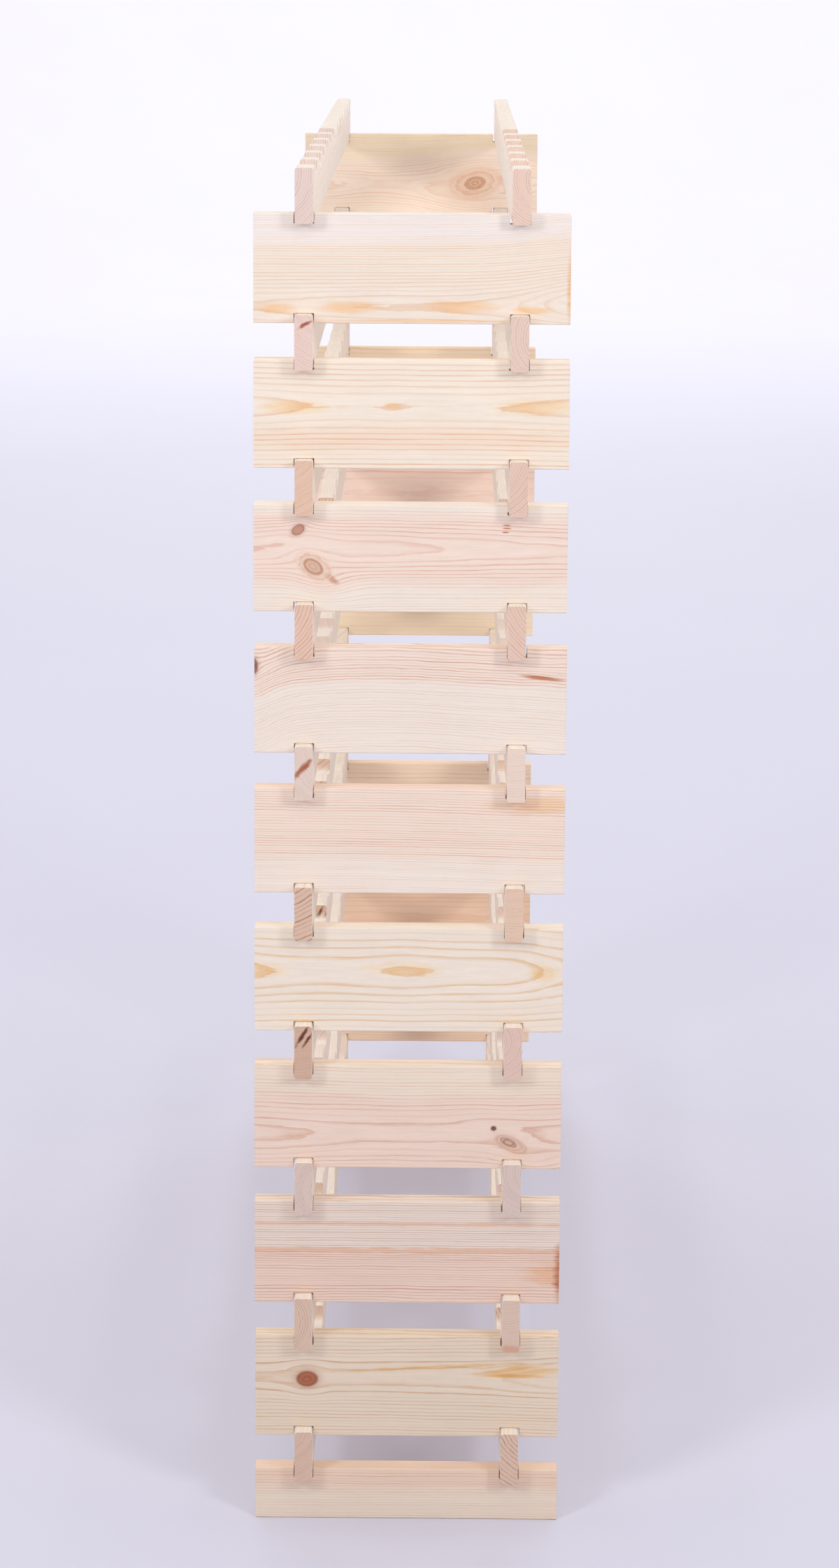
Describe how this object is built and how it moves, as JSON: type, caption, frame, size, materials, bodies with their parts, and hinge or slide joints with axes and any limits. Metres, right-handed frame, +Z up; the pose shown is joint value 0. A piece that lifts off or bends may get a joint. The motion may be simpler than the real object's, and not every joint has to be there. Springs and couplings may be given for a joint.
{
  "type": "stacking bottle rack",
  "caption": "Tall narrow open rack of notched pine end boards and cradled rails stacked crosswise with no fasteners; bottles lie across the rails in shallow cradles.",
  "frame": {"origin": "on the ground, under the middle of the rack", "axes": "+Z up; +X across the rack, along the end boards; +Y from the front end boards to the back ones, along the rails"},
  "size_m": [0.31, 1.26, 1.3917],
  "materials": {
    "end_board_pine": "planed and sanded, unfinished",
    "base_board_pine": "planed and sanded, unfinished",
    "rail_pine": "planed and sanded, unfinished, sawn end grain"
  },
  "bodies": {
    "base": {"base_board_front": "base_board_pine", "base_board_back": "base_board_pine"},
    "rails_01": {"rail_left_01": "rail_pine", "rail_right_01": "rail_pine"},
    "boards_01": {"end_board_front_01": "end_board_pine", "end_board_back_01": "end_board_pine"},
    "rails_02": {"rail_left_02": "rail_pine", "rail_right_02": "rail_pine"},
    "boards_02": {"end_board_front_02": "end_board_pine", "end_board_back_02": "end_board_pine"},
    "rails_03": {"rail_left_03": "rail_pine", "rail_right_03": "rail_pine"},
    "boards_03": {"end_board_front_03": "end_board_pine", "end_board_back_03": "end_board_pine"},
    "rails_04": {"rail_left_04": "rail_pine", "rail_right_04": "rail_pine"},
    "boards_04": {"end_board_front_04": "end_board_pine", "end_board_back_04": "end_board_pine"},
    "rails_05": {"rail_left_05": "rail_pine", "rail_right_05": "rail_pine"},
    "boards_05": {"end_board_front_05": "end_board_pine", "end_board_back_05": "end_board_pine"},
    "rails_06": {"rail_left_06": "rail_pine", "rail_right_06": "rail_pine"},
    "boards_06": {"end_board_front_06": "end_board_pine", "end_board_back_06": "end_board_pine"},
    "rails_07": {"rail_left_07": "rail_pine", "rail_right_07": "rail_pine"},
    "boards_07": {"end_board_front_07": "end_board_pine", "end_board_back_07": "end_board_pine"},
    "rails_08": {"rail_left_08": "rail_pine", "rail_right_08": "rail_pine"},
    "boards_08": {"end_board_front_08": "end_board_pine", "end_board_back_08": "end_board_pine"},
    "rails_09": {"rail_left_09": "rail_pine", "rail_right_09": "rail_pine"},
    "boards_09": {"end_board_front_09": "end_board_pine", "end_board_back_09": "end_board_pine"},
    "top_rail_left": {"rail_left_10": "rail_pine"},
    "top_rail_right": {"rail_right_10": "rail_pine"}
  },
  "joints": [
    {"name": "rails_01_lift", "type": "slide", "parent": "base", "child": "rails_01", "axis": [0, 0, 1], "range_m": [0, 0.04]},
    {"name": "boards_01_lift", "type": "slide", "parent": "rails_01", "child": "boards_01", "axis": [0, 0, 1], "range_m": [0, 0.04]},
    {"name": "rails_02_lift", "type": "slide", "parent": "boards_01", "child": "rails_02", "axis": [0, 0, 1], "range_m": [0, 0.04]},
    {"name": "boards_02_lift", "type": "slide", "parent": "rails_02", "child": "boards_02", "axis": [0, 0, 1], "range_m": [0, 0.04]},
    {"name": "rails_03_lift", "type": "slide", "parent": "boards_02", "child": "rails_03", "axis": [0, 0, 1], "range_m": [0, 0.04]},
    {"name": "boards_03_lift", "type": "slide", "parent": "rails_03", "child": "boards_03", "axis": [0, 0, 1], "range_m": [0, 0.04]},
    {"name": "rails_04_lift", "type": "slide", "parent": "boards_03", "child": "rails_04", "axis": [0, 0, 1], "range_m": [0, 0.04]},
    {"name": "boards_04_lift", "type": "slide", "parent": "rails_04", "child": "boards_04", "axis": [0, 0, 1], "range_m": [0, 0.04]},
    {"name": "rails_05_lift", "type": "slide", "parent": "boards_04", "child": "rails_05", "axis": [0, 0, 1], "range_m": [0, 0.04]},
    {"name": "boards_05_lift", "type": "slide", "parent": "rails_05", "child": "boards_05", "axis": [0, 0, 1], "range_m": [0, 0.04]},
    {"name": "rails_06_lift", "type": "slide", "parent": "boards_05", "child": "rails_06", "axis": [0, 0, 1], "range_m": [0, 0.04]},
    {"name": "boards_06_lift", "type": "slide", "parent": "rails_06", "child": "boards_06", "axis": [0, 0, 1], "range_m": [0, 0.04]},
    {"name": "rails_07_lift", "type": "slide", "parent": "boards_06", "child": "rails_07", "axis": [0, 0, 1], "range_m": [0, 0.04]},
    {"name": "boards_07_lift", "type": "slide", "parent": "rails_07", "child": "boards_07", "axis": [0, 0, 1], "range_m": [0, 0.04]},
    {"name": "rails_08_lift", "type": "slide", "parent": "boards_07", "child": "rails_08", "axis": [0, 0, 1], "range_m": [0, 0.04]},
    {"name": "boards_08_lift", "type": "slide", "parent": "rails_08", "child": "boards_08", "axis": [0, 0, 1], "range_m": [0, 0.04]},
    {"name": "rails_09_lift", "type": "slide", "parent": "boards_08", "child": "rails_09", "axis": [0, 0, 1], "range_m": [0, 0.04]},
    {"name": "boards_09_lift", "type": "slide", "parent": "rails_09", "child": "boards_09", "axis": [0, 0, 1], "range_m": [0, 0.04]},
    {"name": "top_rail_left_lift", "type": "slide", "parent": "boards_09", "child": "top_rail_left", "axis": [0, 0, 1], "range_m": [0, 0.1]},
    {"name": "top_rail_right_lift", "type": "slide", "parent": "boards_09", "child": "top_rail_right", "axis": [0, 0, 1], "range_m": [0, 0.1]}
  ]
}
